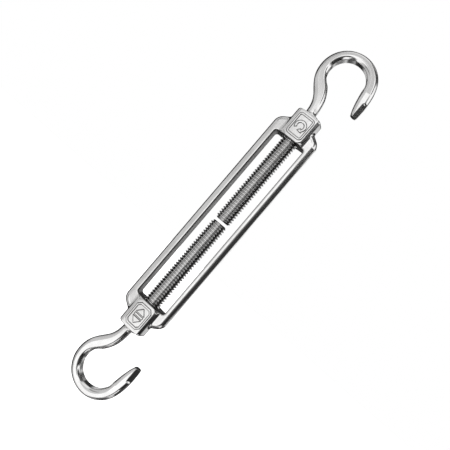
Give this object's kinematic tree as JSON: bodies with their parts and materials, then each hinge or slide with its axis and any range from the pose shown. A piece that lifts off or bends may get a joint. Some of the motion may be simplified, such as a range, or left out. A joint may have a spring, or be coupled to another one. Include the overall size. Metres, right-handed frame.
{
  "type": "rigging turnbuckle",
  "caption": "Hook and hook rigging turnbuckle with an open cast body and opposite-handed threaded hook bolts.",
  "frame": {"origin": "centre of the body's window, on the thread axis", "axes": "+Z along the thread axis to the right-hand threaded hook, +X across the body to the side where both hooks open, -Y out of the face with the raised signs"},
  "size_m": [0.021, 0.0084, 0.1446],
  "materials": {
    "cast_stainless": "polished",
    "bolt_stainless": "polished"
  },
  "bodies": {
    "body": {"frame_body": "cast_stainless"},
    "upper_hook": {"upper_hook_bolt": "bolt_stainless"},
    "lower_hook": {"lower_hook_bolt": "bolt_stainless"}
  },
  "joints": [
    {"name": "upper_hook_travel", "type": "slide", "parent": "body", "child": "upper_hook", "axis": [0, 0, 1], "range_m": [0, 0.034]},
    {"name": "lower_hook_travel", "type": "slide", "parent": "body", "child": "lower_hook", "axis": [0, 0, -1], "range_m": [0, 0.034]}
  ],
  "couplings": [
    {"joint": "lower_hook_travel", "follows": "upper_hook_travel", "ratio": 1}
  ]
}
